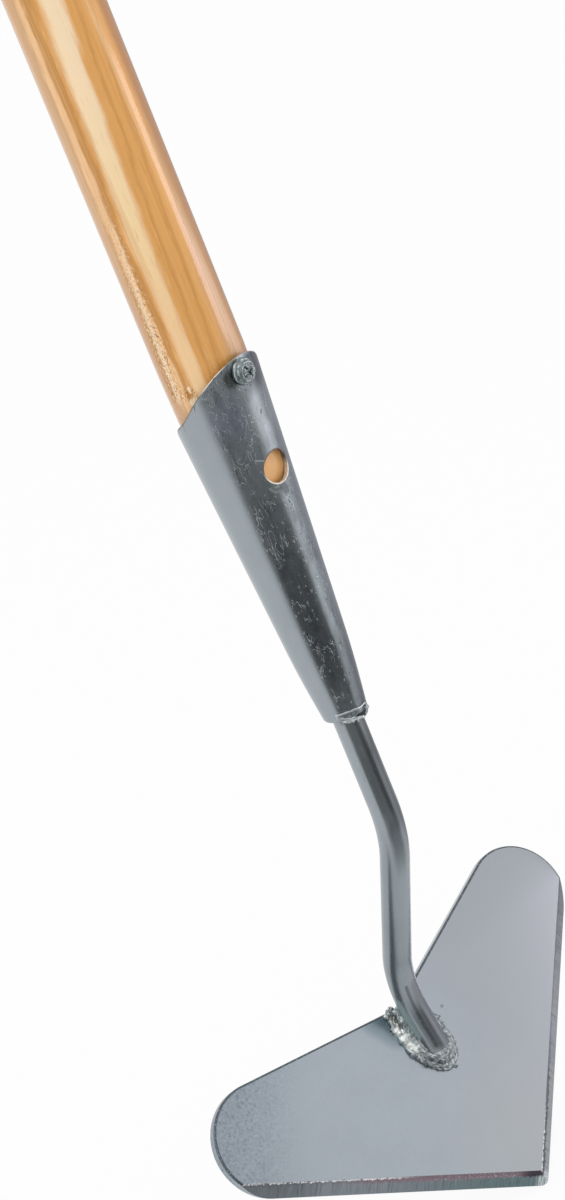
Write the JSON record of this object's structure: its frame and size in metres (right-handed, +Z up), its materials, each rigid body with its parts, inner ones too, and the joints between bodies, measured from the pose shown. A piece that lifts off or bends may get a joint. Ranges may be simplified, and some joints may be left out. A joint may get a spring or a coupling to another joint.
{
  "type": "warren hoe",
  "caption": "Long-handled warren hoe: a heart-shaped bevelled blade welded to a bent round neck, a conical socket with a slanted mouth, and a round wooden handle held by a screw.",
  "frame": {"origin": "on the handle axis, level with the top of the socket's tongue, where the free shaft of the handle starts", "axes": "+Z up the handle towards the grip end, +X towards the side of the socket's tongue, the screw and the blade's face, XZ the plane of symmetry"},
  "size_m": [0.0685, 0.18, 1.725],
  "materials": {
    "handle_wood": "clear lacquered straight-grained wood",
    "socket_steel": "satin zinc-plated steel",
    "screw_steel": "worn zinc-plated steel",
    "neck_steel": "satin zinc-plated steel",
    "blade_steel": "satin zinc-plated plate with ground edges",
    "weld_metal": "rough plated weld"
  },
  "bodies": {
    "root": {"handle": "handle_wood", "socket": "socket_steel", "screw": "screw_steel", "neck": "neck_steel", "blade": "blade_steel", "socket_weld": "weld_metal", "blade_weld": "weld_metal"}
  },
  "joints": []
}
